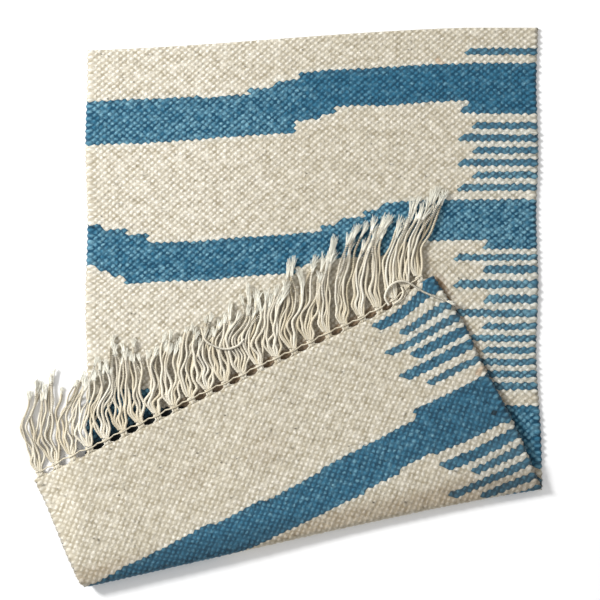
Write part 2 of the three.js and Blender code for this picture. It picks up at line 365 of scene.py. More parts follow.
columns, rows = np.meshgrid(np.arange(-1, COLUMNS + 1), np.arange(-1, PICKS + 1))
turn_out = np.where(columns < 0, -1, np.where(columns == COLUMNS, 1, 0))
turn_out = turn_out * np.where(rows % 2 == 0, TURN_OUT, -TURN_IN)
rim = add_points(np.clip(columns + 0.5, 0, COLUMNS) + turn_out, np.clip(rows + 0.5, 0, PICKS), 0.0)
plump = 1 + 0.15 * waver(warp_numbers * 1.0, pick_numbers * 6.0, seed=8, longest=40, shortest=9)
plump = plump + chance.uniform(-0.5, 0.4, chart.shape)
middle = np.stack([warp_numbers, pick_numbers], -1) + 0.5
blue_around = np.pad(chart, ((1, 1), (0, 0)), "edge")
blue_after, blue_before = blue_around[2:], blue_around[:-2]
other_after, other_before = blue_after != chart, blue_before != chart
pressed = TOWARDS_OTHER * (other_after * 1.0 - other_before)
pressed = pressed + TOWARDS_CREAM * (blue_before * 1.0 - blue_after)


def set_out(sign):
    """The points of one face, which of its beads can be seen, and the ends of their ridges."""
    bead = (warp_numbers + pick_numbers) % 2 == (0 if sign > 0 else 1)
    spot = middle + chance.uniform(-STRAY, STRAY, middle.shape)
    spot[..., 1] += np.where(bead, 0, pressed)
    points = rim.copy()
    high = sign * (FACE + np.where(bead, TOP * plump, DIVE))
    points[1:-1, 1:-1] = add_points(spot[..., 0], spot[..., 1], high)
    past = past_the_crease(*np.moveaxis(middle, -1, 0))
    if sign > 0:
        seen = bead & (past < 0) & ~under_the_flap(*np.moveaxis(middle, -1, 0))
    else:
        seen = bead & (past > BACK_SEEN_FROM)
    ends = {}
    for way, step in ((RIGHT, 1), (LEFT, -1)):
        ends[way] = np.full(bead.shape, -1)
        ends[way][seen] = add_points(
            spot[seen][:, 0] + step * RIDGE_END[0], spot[seen][:, 1] + step * sign * RIDGE_END[1],
            sign * (FACE + RIDGE * plump[seen]))
    return points, seen, ends


# %% [markdown]
# Four neighbouring places make a small square with a bead's top at two opposite corners. It is cut
# from one dive to the other, so that each half belongs to one bead and takes that bead's colour.

# %% Cut the squares between the places into beads
triangles, bead_of, on_back = [], [], []
quad_u, quad_v = np.meshgrid(np.arange(COLUMNS + 1), np.arange(PICKS + 1))

for sign in (1, -1):
    points, seen, ends = set_out(sign)
    fine = np.zeros(points.shape, bool)
    fine[1:-1, 1:-1] = seen
    falling = (quad_u + quad_v) % 2 == (0 if sign > 0 else 1)  # tops at the near left and the far right
    top_pair = np.where(falling, fine[:-1, :-1] & fine[1:, 1:], fine[:-1, 1:] & fine[1:, :-1])
    flat = np.concatenate(places)
    dives = np.where(falling[..., None], np.stack([points[:-1, 1:], points[1:, :-1]], -1),
                     np.stack([points[:-1, :-1], points[1:, 1:]], -1))
    half_way = flat[dives].mean(2)
    half_way = half_way + chance.uniform(-HALF_WAY_STRAY, HALF_WAY_STRAY, half_way.shape)
    low = np.where(falling == (sign > 0), APART, LEANING)
    between = np.full(falling.shape, -1)
    low = sign * (FACE + low[top_pair])
    between[top_pair] = add_points(half_way[top_pair][:, 0], half_way[top_pair][:, 1], low)

    # Each half square: where its top is on the square, and the two dives in turning order
    for (du, dv), a, b in (((0, 0), NEXT, RIGHT), ((1, 1), LAST, LEFT),
                           ((1, 0), LEFT, NEXT), ((0, 1), RIGHT, LAST)):
        here = falling if du == dv else ~falling
        tu, tv, lean = quad_u[here] + du, quad_v[here] + dv, between[here]
        top, first, second = points[tv, tu], points[tv + a[1], tu + a[0]], points[tv + b[1], tu + b[0]]
        side = a if a in ends else b
        bead_v, bead_u = np.clip(tv - 1, 0, PICKS - 1), np.clip(tu - 1, 0, COLUMNS - 1)
        end = np.where(fine[tv, tu], ends[side][bead_v, bead_u], -1)
        whole = (end >= 0) & (lean >= 0)
        partly = (end >= 0) & (lean < 0)
        if side == a:
            cuts = [(whole, (top, end, lean)), (whole, (end, first, lean)), (whole, (top, lean, second)),
                    (partly, (top, end, second)), (partly, (end, first, second))]
        else:
            cuts = [(whole, (top, first, lean)), (whole, (top, lean, end)), (whole, (end, lean, second)),
                    (partly, (top, first, end)), (partly, (first, second, end))]
        for which, corners in (*cuts, (end < 0, (top, first, second))):
            corners = corners if sign > 0 else corners[::-1]
            triangles.append(np.stack([c[which] for c in corners], -1))
            bead_of.append(np.stack([bead_v[which], bead_u[which]], -1))
            on_back.append(np.full(which.sum(), sign < 0))

triangles, bead_of, on_back = (np.concatenate(a) for a in (triangles, bead_of, on_back))
places, heights = np.concatenate(places), np.concatenate(heights)
print("cloth:", len(places), "points,", len(triangles), "triangles")


# %% [markdown]
# The arrays go into a mesh at once, which is far quicker than adding faces one by one. One helper
# keeps a number for each face, such as how light its yarn is, and one keeps a map.

# %% Turn arrays into a Blender mesh
def mesh_object(name, points, faces):
    """A mesh object from points in plan millimetres and faces of three or four corners."""
    mesh = bpy.data.meshes.new(name)
    faces = np.asarray(faces, np.int32)
    sides = faces.shape[1]
    mesh.vertices.add(len(points))
    mesh.vertices.foreach_set("co", to_frame(points).astype(np.float32).ravel())
    mesh.loops.add(faces.size)
    mesh.loops.foreach_set("vertex_index", faces.ravel())
    mesh.polygons.add(len(faces))
    mesh.polygons.foreach_set("loop_start", np.arange(len(faces), dtype=np.int32) * sides)
    mesh.polygons.foreach_set("use_smooth", np.ones(len(faces), bool))
    mesh.update(calc_edges=True)
    mesh.validate()
    made = bpy.data.objects.new(name, mesh)
    bpy.context.scene.collection.objects.link(made)
    return made


def set_values(mesh, name, domain, values):
    mesh.attributes.new(name, "FLOAT", domain).data.foreach_set("value", np.asarray(values, np.float32))


def set_map(mesh, name, coordinates):
    mesh.uv_layers.new(name=name).data.foreach_set("uv", np.asarray(coordinates, np.float32).ravel())


# %% [markdown]
# ## How light each bead is
# The cream of the lower layer is lighter towards the left. Dye and fleece change along a rug, so
# the blue drifts: darker at the right of its first band, and both wools are duller on the upper
# layer. Cream beads beside a blue pick stand proud of that thinner weft, and the light they catch is
# a painted highlight in their tone. Where the colours change often, in the combs, the fibres of both
# wools mingle, and each takes on a little of the other. Along the fold the tone is darkened by
# painted shade, where the fold's curve alone shades the cloth too little. That is taken for soil
# from handling, though a picture can't tell soil from shade.

# %% Give each bead its tone
TONE, TONE_RANGE = 0.36, 0.3  # the mean tone, from shaded to light wool, and how far one bead may stray
BESIDE_BLUE = 0.35
# mm past the crease: the painted fold shade grows over the first, and fades past the second over the third
FOLD_SHADE_OVER = (6, 12, 16)

tone = TONE + 0.13 * waver(warp_numbers * 0.12, pick_numbers * 1.0, seed=9, longest=11, shortest=2.1)
tone = tone + chance.uniform(-TONE_RANGE, TONE_RANGE, chart.shape)
# The cream is lighter towards the left of the lower layer
lighter_to_the_left = smooth((75 - warp_numbers) / 60) * smooth((140 - pick_numbers) / 10)
duller = smooth((pick_numbers - 140) / 10)
to_the_right = smooth((warp_numbers - 50) / 20)
first_band = smooth((50 - pick_numbers) / 10)
second_band = smooth((pick_numbers - 50) / 6) * smooth((78 - pick_numbers) / 6)
dye = mix(0.11, -0.35, to_the_right) * first_band + 0.2 * to_the_right * second_band - 0.32 * duller
tone = tone + np.where(chart, dye, 0.42 * lighter_to_the_left - 0.06 * duller)
past = past_the_crease(warp_numbers + 0.5, pick_numbers + 0.5)
painted_fold_shade = smooth(past / FOLD_SHADE_OVER[0]) * (1 - smooth((past - FOLD_SHADE_OVER[1]) / FOLD_SHADE_OVER[2]))
# Painted shade along the fold
tone = tone - 0.4 * painted_fold_shade
next_to_blue = np.zeros(chart.shape, bool)
next_to_blue[1:] |= chart[:-1]
next_to_blue[:-1] |= chart[1:]
# Painted highlight: cream beads beside blue are lightened for the light they catch
tone = tone + np.where(next_to_blue & ~chart, BESIDE_BLUE, 0)

near_by = np.pad(chart, ((2, 2), (0, 0)), "edge")
blue_near_by = sum(near_by[k:k + PICKS] for k in range(5)) / 5  # among five picks
mingled = 0.25 * np.where(chart, 1 - blue_near_by, blue_near_by) ** 2
mingled = mingled + np.where(chart, 0.03 * duller, 0)
print("mean tone of cream", round(tone[~chart].mean(), 2), "and of blue", round(tone[chart].mean(), 2))


# %% [markdown]
# ## Painted shade and stains
# Shade is painted in brown on the lower layer under the fringe, darkest beside its knots and darker
# on blue, and under the upper layer and over 8 mm beside its right selvedge. Faint stains and a
# dark fleck mark the upper layer, painted shade darkens it along the fold, and a few brown tufts
# were spun into the wool.

# %% Paint shade under the fringe and stain the cloth
NEPS = [(122, 185), (121, 184), (96, 10), (97, 11)]  # warp and pick of each brown tuft
# Warp and pick of each stain on the upper layer, its radius in warps, and how strong it is
# The third stain, by the fold's corner, is partly painted shade of the fold
STAINS = [(60, 193, 5.5, 0.14), (38, 196, 3.5, 0.1), (118, 152, 24.0, 0.15)]
DARK_FLECK = (171, 120)  # pick and warp, on the blue of the upper layer
# How strong the painted shade is beside the knots and under the yarns, and how much more on blue
KNOT_PAINTED_SHADE, YARN_PAINTED_SHADE, MORE_ON_BLUE = 0.62, 0.14, 1.4

across, past_its_end = seen_from_the_flap(warp_numbers + 0.5, pick_numbers + 0.5)
under_knots, under_yarns = 1 - smooth((past_its_end - 4) / 8), 1 - smooth((past_its_end - 30) / 35)
# Painted shade: brown darkening under the knots and yarns, fading out beside the flap's right edge
painted_shade_and_stains = KNOT_PAINTED_SHADE * under_knots + YARN_PAINTED_SHADE * under_yarns
painted_shade_and_stains = painted_shade_and_stains * smooth((WIDTH + 8 - across) / 8) * np.where(chart, MORE_ON_BLUE, 1)
stains_and_fold_shade = sum(strength * np.exp(-((warp_numbers - warp) ** 2 + (pick_numbers - pick) ** 2) / radius**2)
              for warp, pick, radius, strength in STAINS)
# Painted shade along the fold, in brown, on the upper layer
stains_and_fold_shade = stains_and_fold_shade + 0.3 * painted_fold_shade
stains_and_fold_shade[DARK_FLECK] = 0.8
wool_number = chart.astype(np.int32)
for warp, pick in NEPS:
    wool_number[pick, warp] = 2
# The strongest painted shade on one bead
print("most dust on a bead:", round(painted_shade_and_stains.max(), 2))


# %% [markdown]
# ## The cloth as one mesh
# Each face takes the wool, the tone, and the painted shade and stains of its bead. A map in
# millimetres of flat cloth lets the wool's pattern keep its size round the fold. Every pick counts
# for the same length on it, 2.86 mm, so that the beads in the pattern stay on the beads of the mesh.
# That is about 5% more than the rows measure on average, too little to show. The back face runs
# the other way, and starts an even number of warps along. A second map lays the two faces side by
# side.

# %% Make the cloth
PICK_MM = 2.86
BACK_STARTS = 2 * COLUMNS
BAKE_EDGE, BAKE_BACK, BAKE_WIDE, BAKE_HIGH = 0.015, 0.515, 0.47, 0.97  # shares of the second map

laid = fold(*on_flat_cloth(places[:, 0], places[:, 1]), heights)
laid[:, 2] = np.maximum(laid[:, 2], 0)
rug = mesh_object("rug_cloth", laid, triangles)
of_face = bead_of[:, 0], bead_of[:, 1]
rug.data.polygons.foreach_set("material_index", wool_number[of_face])
set_values(rug.data, "yarn_tone", "FACE", np.clip(tone[of_face], 0, 1))
set_values(rug.data, "mingled", "FACE", mingled[of_face])
# Front faces carry painted shade under the fringe; back faces carry stains and painted fold shade
set_values(rug.data, "painted_shade_and_stains", "FACE", np.where(on_back, stains_and_fold_shade[of_face], painted_shade_and_stains[of_face]))
at, back = places[triangles.ravel()], np.repeat(on_back, 3)
whole_sheet = np.stack([at[:, 0] / COLUMNS * BAKE_WIDE + np.where(back, BAKE_BACK, BAKE_EDGE),
                        at[:, 1] / PICKS * BAKE_HIGH + BAKE_EDGE], -1)
set_map(rug.data, "OFBake", whole_sheet)
at[:, 0] = np.where(back, BACK_STARTS - at[:, 0], at[:, 0])
set_map(rug.data, "weave_mm", at * (WARP_MM, PICK_MM))
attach(rug, "root")
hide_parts("rug_field")
print("cloth measured in metres:", [round(v, 4) for v in rug.dimensions])


# %% [markdown]
# ## Yarns
# The fringe is the warp itself: cotton, two plies twisted together. A yarn is a tube whose section
# has two lobes that turn as it goes, which gives the slanting grooves of a plied yarn. Its frame is
# carried along the path without twisting, so the only twist is the yarn's own.

# %% Spin a yarn along a path
class Skein:
    """Gathers many strands, which become one mesh."""

    def __init__(self):
        self.points, self.faces, self.count, self.shades = [], [], 0, []

    def strand(self, path, radius, sides=8, lobe=0.0, twist=3.2, shade=0.5, phase=0.0):
        path = np.asarray(path, float)
        ahead = np.gradient(path, axis=0)
        ahead /= np.linalg.norm(ahead, axis=1)[:, None]
        start = np.array([0.0, 0.0, 1.0]) if abs(ahead[0, 2]) < 0.9 else np.array([1.0, 0.0, 0.0])
        ups = []
        for way in ahead:
            start = start - way * (start @ way)
            start = start / np.linalg.norm(start)
            ups.append(start)
        ups = np.array(ups)
        rights = np.cross(ahead, ups)
        along = np.concatenate([[0], np.cumsum(np.linalg.norm(np.diff(path, axis=0), axis=1))])
        turn = 2 * math.pi * along / twist + phase
        angle = np.arange(sides) / sides * 2 * math.pi + turn[:, None] * (1 if lobe else 0)
        size = np.broadcast_to(radius, len(path))[:, None]
        size = size * (1 + lobe * np.cos(2 * (angle - turn[:, None])))
        ring = path[:, None] + size[..., None] * (
            np.cos(angle)[..., None] * rights[:, None] + np.sin(angle)[..., None] * ups[:, None])
        steps = np.arange(len(path) - 1)[:, None] * sides
        k = np.arange(sides)[None]
        near, far = steps + k, steps + (k + 1) % sides
        body = np.stack([near, far, far + sides, near + sides], -1).reshape(-1, 4)
        caps = np.array([[0, k + 1, k, k] for k in range(1, sides - 1)])
        last = (len(path) - 1) * sides
        ends = np.concatenate([caps, np.array([[0, k, k + 1, k + 1] for k in range(1, sides - 1)]) + last])
        body = np.concatenate([body[:, [0, 1, 2]], body[:, [0, 2, 3]], ends[:, :3]])
        self.points.append(ring.reshape(-1, 3))
        self.faces.append(body + self.count)
        self.shades.append(np.full(len(body), shade))
        self.count += ring.shape[0] * sides

    def finish(self, name):
        points = np.concatenate(self.points)
        points[:, 2] = np.maximum(points[:, 2], 0)
        made = mesh_object(name, points, np.concatenate(self.faces))
        set_values(made.data, "yarn_tone", "FACE", np.concatenate(self.shades))
        print(name, len(made.data.polygons), "triangles")
        return made


def through(points, count):
    """A smooth path through a few points, at even steps of its parameter."""
    points = np.asarray(points, float)
    ghost = np.concatenate([[2 * points[0] - points[1]], points, [2 * points[-1] - points[-2]]])
    t = np.linspace(0, len(points) - 1, count)
    k = np.minimum(t.astype(int), len(points) - 2)
    s = (t - k)[:, None]
    a, b, c, d = (ghost[k + n] for n in range(4))
    curve = 2 * b + (c - a) * s + (2 * a - 5 * b + 4 * c - d) * s**2 + (3 * b - a - 3 * c + d) * s**3
    return curve / 2


# %% [markdown]
# ## The fringe
# Past the last pick the warps are gathered five or six at a time. Each group is pinched into a neck
# and tied, and a thin cord runs from knot to knot, which leaves a row of small dark openings. Beyond
# the knots the yarns lie loose, each leaning its own way. They are cut a little shorter left of the
# middle, where their tips also turn aside, and all the cut ends have opened into brushes of fibre.

# %% Place the knots and the routes of the yarns
BUNDLES, PER_BUNDLE = 24, 6
KNOT_PAST = 6.0  # mm past the last pick
SHORTEST, LONGEST = 62.0, 79.0  # mm of free yarn
YARN_THICK = 1.38  # mm of radius
# How much of their length the yarns keep, at shares of the cloth's width
CUT_SHORTER = [(0, 1), (0.25, 0.98), (0.32, 0.84), (0.6, 0.86), (0.72, 1), (0.8, 1.03), (1, 1)]
LEAN, LEAN_RANGE = (2, 11), 14  # degrees to the right at each selvedge, and from bundle to bundle
OWN_WAVES = [(36, 1.5), (21, 0.65), (11, 0.1)]  # length and height in mm of a yarn's own waves
YARN_STEPS = 60
UNDER_GAP = 0.3  # mm between a yarn and what it lies on


def scatter(seed):
    """A repeatable number from 0 to 1, as the solids use."""
    value = math.sin(seed * 12.9898 + 4.1) * 43758.5453
    return value - math.floor(value)


def surface_under(x):
    """The top of the lower layer, or the floor past its left selvedge."""
    return (THICKNESS + UNDER_GAP) * smooth((x + 9) / 7)


def past_end(x, past, high=0.0):
    """A place this far past the cloth's fringed end, folded back with it."""
    return fold(x, fringed_end(np.asarray(x, float)) - past, high)


class Bundle:
    """The lean, sway and spread that the yarns of one knot share."""

    def __init__(self, number, chance):
        self.x = (number + 0.5) * WIDTH / BUNDLES
        self.share = self.x / WIDTH
        self.lean = math.radians(mix(*LEAN, self.share) + (scatter(number) - 0.5) * LEAN_RANGE)
        # Length and height in mm of a wave that the yarns share, and its phase
        self.wave = (chance.uniform(30, 48), chance.uniform(0.8, 2.6), chance.uniform(0, 2 * math.pi))
        apart = smooth((self.share - 0.62) / 0.15)  # to the right the bundles keep to themselves
        self.widest = chance.uniform(2.2, 3.0) * mix(1, 0.78, apart)  # from yarn to yarn, in mm
        self.gathered = chance.uniform(0.5, 1.15) * mix(1, 0.65, apart)  # of that, at the tips
        self.cut = np.interp(self.share, *np.array(CUT_SHORTER).T)
        self.hook = chance.uniform(0, 9) * smooth((0.65 - self.share) / 0.1)  # mm the tips turn aside
        self.number = number

    def yarn(self, number, chance):
        """From the knot up the rug, with the bundle's sway and the yarn's own small waves."""
        knot, base = past_end(self.x, KNOT_PAST), past_end(self.x, 0.0)
        outward = (knot - base) * (1, 1, 0)
        outward /= np.linalg.norm(outward)
        onward = np.array([math.sin(self.lean), math.cos(self.lean), 0.0])
        sideways = np.array([onward[1], -onward[0], 0.0])
        length = mix(SHORTEST, LONGEST, scatter(self.number * 5 + number)) * self.cut
        t = (np.linspace(0, 1, YARN_STEPS) * length / LONGEST)[:, None]
        control = knot + outward * LONGEST * 0.28
        tip = knot + onward * LONGEST - (*drawn_in(self.x, fringed_end(self.x)), 0)
        path = knot * (1 - t) ** 2 + control * 2 * t * (1 - t) + tip * t * t
        sway = np.sin(2 * math.pi * (1.25 * t + 2.3 * self.share)) * 2.8 * t
        wave_length, height, phase = self.wave
        shared = height * np.sin(2 * math.pi * t * LONGEST / wave_length + phase) * smooth(t / 0.4)
        straighter = mix(1.1, 0.55, smooth((self.share - 0.5) / 0.4))
        spread = mix(1.2, self.widest, smooth(t / 0.2)) * mix(1, self.gathered, smooth((t - 0.5) / 0.5))
        own = 0.0
        for wave_length, height in OWN_WAVES:
            phase = chance.uniform(0, 2 * math.pi)
            own = own + height * chance.uniform(0.3, 1.3) * np.sin(
                2 * math.pi * t * LONGEST / wave_length + phase) * smooth(t / 0.3)
        drift = chance.normal(0, mix(2.2, 3.2, self.share)) * t**1.6
        bends = (sway + shared + own) * straighter - self.hook * t**4
        path = path + sideways * (bends + drift + (number - (PER_BUNDLE - 1) / 2) * spread)
        layer = chance.uniform()
        lying = surface_under(path[:, :1]) + YARN_THICK + 2.4 * layer * smooth(t / 0.2)
        path[:, 2:] = mix(knot[2], lying, smooth(t / chance.uniform(0.35, 0.8)))
        return path, layer


chance = np.random.default_rng(21)
bundles = [Bundle(number, chance) for number in range(BUNDLES)]
print("knots every", round(WIDTH / BUNDLES, 1), "mm, with", PER_BUNDLE, "yarns each")


# %% [markdown]
# A cut cotton end loses its twist and opens into a brush, so each yarn ends in 24 fine fibres that
# part as they leave it. They are three-sided, since they are too thin for more to be seen.

# %% Spin the free yarns and their brushes
FIBRES, FIBRE_POINTS, FIBRE_RADIUS = 24, 6, (0.36, 0.18)  # radius in mm, where it starts and at its tip
yarns, brushes = Skein(), Skein()


def open_end(path, radius, fibres, spread, length):
    """The untwisted end of a yarn: fine fibres that part as they leave it."""
    tip, way = path[-1], path[-1] - path[-4]
    way = way / np.linalg.norm(way)
    aside = np.array([way[1], -way[0], 0.0])
    for _ in range(fibres):
        side, lift = chance.uniform(-1, 1), chance.uniform(-0.6, 0.8)
        reach = length * chance.uniform(0.5, 1.1)
        s = np.linspace(-0.3, 1, FIBRE_POINTS)[:, None]
        curl = chance.normal(0, 0.2) * s**2
        parted = side * radius * 0.8 + (side * spread + curl * 3) * np.clip(s, 0, 1) ** 1.3
        line = tip + way * reach * s + aside * parted
        line[:, 2:] += lift * radius
        line[:, 2] = np.maximum(line[:, 2], surface_under(line[:, 0]) + 0.3)
        thickness = np.linspace(*FIBRE_RADIUS, FIBRE_POINTS)
        brushes.strand(line, thickness, sides=3, shade=chance.uniform(0.5, 1))


for bundle in bundles:
    for number in range(PER_BUNDLE):
        path, layer = bundle.yarn(number, chance)
        from_knot = np.linspace(0, 1, YARN_STEPS)
        radius = YARN_THICK * chance.uniform(0.85, 1.12) * mix(0.85, 1, smooth(from_knot / 0.2))
        shade = 0.2 + 0.5 * layer + chance.uniform(0, 0.3)  # painted shade: what lies lowest, under the other yarns, is darker
        twist, phase = chance.uniform(3.8, 5.2), chance.uniform(0, 6)
        yarns.strand(path, radius, lobe=0.1, twist=twist, shade=shade, phase=phase)
        fuller = mix(0.6, 1, smooth((bundle.share - 0.45) / 0.15))
        spread, length = chance.uniform(0.7, 3.2) * fuller, chance.uniform(8, 15) * fuller
        open_end(path, YARN_THICK, FIBRES, spread, length)
print(BUNDLES * PER_BUNDLE, "yarns of up to", LONGEST, "mm")


# %% [markdown]
# Two yarns have fallen back over the folded corner. The longer one starts among the last knots,
# arches over them and ends in a small brush on the selvedge. A third lies across its neighbours. The
# tables hold places of the plan in mm, with the height above the floor.

# %% Lay the three loose yarns
LOOSE_YARN = [
    (268, 246, 8), (264.5, 254, 9), (270, 264, 9.8), (282, 267, 9.8), (300, 257, 9.6), (321, 249, 9.5)]
LOOSE_CURL = [(279, 262, 8.6), (280.5, 257, 9.6), (277.5, 251, 9.8), (272, 247, 9.2)]
ACROSS_OTHERS = [(102, 226, 6), (107, 214, 8.6), (122, 207.5, 9.2), (134, 210, 8.8), (140, 216, 7)]

loose_path = through(LOOSE_YARN, 90)
yarns.strand(loose_path, 1.15, lobe=0.15, twist=3.8, shade=0.85)
open_end(loose_path, 1.15, 20, 1.8, 7)
yarns.strand(through(LOOSE_CURL, 40), 1.0, lobe=0.15, twist=3.8, shade=0.6)
yarns.strand(through(ACROSS_OTHERS, 60), 1.15, lobe=0.1, twist=4.2, shade=0.8)
loose_length = np.linalg.norm(np.diff(loose_path, axis=0), axis=1).sum()
print("the longest loose yarn:", round(loose_length), "mm")


# %% [markdown]
# The cord that runs from knot to knot hangs in shallow arches. Each neck is six strands that come
# out from under the last pick and draw together, and a turn of yarn ties them.

# %% Run the cord, pinch the necks and tie the knots
CORD_PAST, CORD_ARCH = 4.3, 1.2  # mm past the last pick at a knot, and how much further between knots
CORD_HIGH, CORD_DROP = 1.3, 1.9  # mm up at a knot, and how far the cord drops between two
NECK_POINTS, SQUEEZE = 16, (2.3, 0.9)  # mm from strand to strand, where the neck starts and at its knot
TIE_WIDE, TIE_HIGH, TIE_TURNS = 3.3, 1.5, 1.2  # half width and half height in mm
cords = Skein()


def plied(path, radius, shade):
    cords.strand(path, radius, sides=7, lobe=0.12, twist=3.6, shade=shade, phase=chance.uniform(0, 6))


pitch = WIDTH / BUNDLES
along = np.linspace(0.8, WIDTH - 0.8, 520)
along = along[(along > pitch / 2) & (along < WIDTH - pitch / 2)]
arch = (((along / pitch) % 1 - 0.5) * 2) ** 2  # 0 at a knot, 1 half way to the next
unsteady = 0.5 * waver(along, 0.0, seed=13, longest=50, shortest=14)
line = past_end(along, CORD_PAST + CORD_ARCH * arch + unsteady)
line[:, 2] += CORD_HIGH - CORD_DROP * arch
plied(line, radius=0.72, shade=0.45)
cord_length = np.linalg.norm(np.diff(line, axis=0), axis=1).sum()
print("the cord from the first knot to the last:", round(cord_length), "mm")

for bundle in bundles:
    for number in range(PER_BUNDLE):
        from_middle = number - (PER_BUNDLE - 1) / 2
        reach = np.linspace(-1.2, KNOT_PAST + 0.4, NECK_POINTS)
        squeeze = mix(*SQUEEZE, smooth((reach + 0.8) / 2.2))
        sunk = mix(1.0, 0.0, smooth((reach + 1.2) / 3)) + 0.35 * chance.uniform(-1, 1)
        neck = past_end(bundle.x + from_middle * squeeze, reach, sunk)
        cords.strand(neck, 1.0, sides=6, lobe=0.06, twist=4.2, shade=chance.uniform(0.3, 0.9))
    knot, base = past_end(bundle.x, 4.6), past_end(bundle.x, 0.0)
    way = (knot - base) / np.linalg.norm(knot - base)
    aside = np.cross(way, (0, 0, 1))
    s = np.linspace(-1, 1, 24)[:, None]
    wind = s * math.pi * TIE_TURNS + chance.uniform(0, 6)
    tie = knot + way * (s * 0.8 + 0.4 * np.sin(wind)) + aside * TIE_WIDE * np.cos(wind)
    tie[:, 2:] += TIE_HIGH * np.sin(wind)
    plied(tie, radius=0.6, shade=chance.uniform(0.5, 0.9))

fringe_yarns = yarns.finish("fringe_yarns")
fringe_brushes = brushes.finish("fringe_frayed_ends")
fringe_cords = cords.finish("fringe_cords_and_knots")
for piece in (fringe_yarns, fringe_brushes, fringe_cords):
    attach(piece, "root")
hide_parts("fringe")


# %% [markdown]
# ## Materials
# One function adds a node with its settings and its links, and one turns a colour as it is seen
# into the linear values that the renderer counts in.

# %% Helpers for materials
def linear(hex_colour):
    """An sRGB hex colour as linear red, green, blue and alpha."""
    parts = [int(hex_colour[k:k + 2], 16) / 255 for k in (1, 3, 5)]
    return [*(p / 12.92 if p <= 0.04045 else ((p + 0.055) / 1.055) ** 2.4 for p in parts), 1.0]


def add(tree, kind, inputs=None, **settings):
    """Adds a node, sets it, and fills its inputs with values or with links from other nodes."""
    made = tree.nodes.new(kind)
    for name, value in settings.items():
        setattr(made, name, value)
    for socket, value in (inputs or {}).items():
        if isinstance(value, bpy.types.NodeSocket):
            tree.links.new(value, made.inputs[socket])
        else:
            made.inputs[socket].default_value = value
    return made


FACTOR, FIRST, SECOND, MIXED = 0, 6, 7, 2  # the sockets of a Mix node that mixes colours
# A Map Range node's sockets 1 and 2 are the lowest and highest value in, and 3 and 4 what they become
print("a mid grey, #808080, is", round(linear("#808080")[0], 3), "in the renderer's linear values")


# %% [markdown]
# ### Hand-spun wool
# The weft is thick hand-spun wool. It was carded by hand, so its fibres run nearly the same way but
# never quite, its colour shifts from pick to pick, and darker hairs are spun in. It is matt,
# roughness about 0.9, with a faint sheen from the fibres that stand up.
# The mesh gives each bead its place and height, and the material rounds it further. For that it has
# to know how far a point is from the middle of its bead. A turn by 45 degrees makes the board of
# beads a plain board of squares, so the fraction of each coordinate is the place within a bead. A
# slow noise pushes the places about by up to 1.7 mm, since no two beads are alike.

# %% Find the way to the middle of a bead
PUSHED = 1.7  # mm


def distance_in_bead(tree, place):
    """0 in the middle of a bead, and about 1 where two beads lean on each other."""
    uneven = add(tree, "ShaderNodeTexNoise", {
        "Vector": place, "Scale": 0.33, "Detail": 2.0, "Roughness": 0.6})
    shifted = add(tree, "ShaderNodeVectorMath", {
        0: uneven.outputs[1], 1: (2 * PUSHED, 2 * PUSHED, 0), 2: place}, operation="MULTIPLY_ADD")
    centred = add(tree, "ShaderNodeVectorMath", {
        0: shifted.outputs[0], 1: (PUSHED, PUSHED, 0)}, operation="SUBTRACT")
    board = add(tree, "ShaderNodeMapping", {
        "Vector": centred.outputs[0], "Location": (0, 0.5, 0), "Rotation": (0, 0, -math.pi / 4),
        "Scale": (1 / WARP_MM / math.sqrt(2), 1 / PICK_MM / math.sqrt(2), 1)})
    within = add(tree, "ShaderNodeVectorMath", {0: board.outputs[0]}, operation="FRACTION")
    from_middle = add(tree, "ShaderNodeVectorMath", {
        0: within.outputs[0], 1: (2.35, 1.95, 0), 2: (-1.175, -0.975, 0)}, operation="MULTIPLY_ADD")
    return add(tree, "ShaderNodeVectorMath", {0: from_middle.outputs[0]}, operation="LENGTH").outputs[1]


# %% [markdown]
# The yarn's colour runs between a light and a shaded one by the tone that each face carries, which
# holds painted light and shade besides the yarn's own, with soft patches a few beads wide. Fibres
# are 0.03 mm thick, far too fine to show, so they are drawn as slanting streaks about 1 mm wide.
# Dark hairs and bits of chaff show as specks.

# %% Colour a bit of yarn
def yarn_colour(tree, place, light, shaded, streak, hair, hair_share):
    tone_here = add(tree, "ShaderNodeAttribute", attribute_name="yarn_tone").outputs["Fac"]
    patchy = add(tree, "ShaderNodeTexNoise", {"Vector": place, "Scale": 0.24, "Detail": 2.0})
    patches = add(tree, "ShaderNodeMapRange", {0: patchy.outputs[0], 1: 0.3, 2: 0.7, 3: -0.42, 4: 0.42})
    tone_there = add(tree, "ShaderNodeMath", {0: tone_here, 1: patches.outputs[0]}, operation="ADD")
    yarn = add(tree, "ShaderNodeMix", {
        FACTOR: tone_there.outputs[0], FIRST: linear(shaded), SECOND: linear(light)}, data_type="RGBA")
    streak_share = add(tree, "ShaderNodeMapRange", {0: streak, 1: 0.38, 2: 0.62, 3: 0.0, 4: 0.6})
    streaked = add(tree, "ShaderNodeMix", {
        FACTOR: streak_share.outputs[0], FIRST: yarn.outputs[MIXED],
        SECOND: linear(shaded)}, data_type="RGBA")
    specks = add(tree, "ShaderNodeTexNoise", {
        "Vector": place, "Scale": 0.55, "Detail": 3.0, "Roughness": 0.7})
    speck_share = add(tree, "ShaderNodeMapRange", {
        0: specks.outputs[0], 1: 0.59, 2: 0.7, 3: 0.0, 4: hair_share})
    haired = add(tree, "ShaderNodeMix", {
        FACTOR: speck_share.outputs[0], FIRST: streaked.outputs[MIXED],
        SECOND: linear(hair)}, data_type="RGBA")
    return haired.outputs[MIXED]
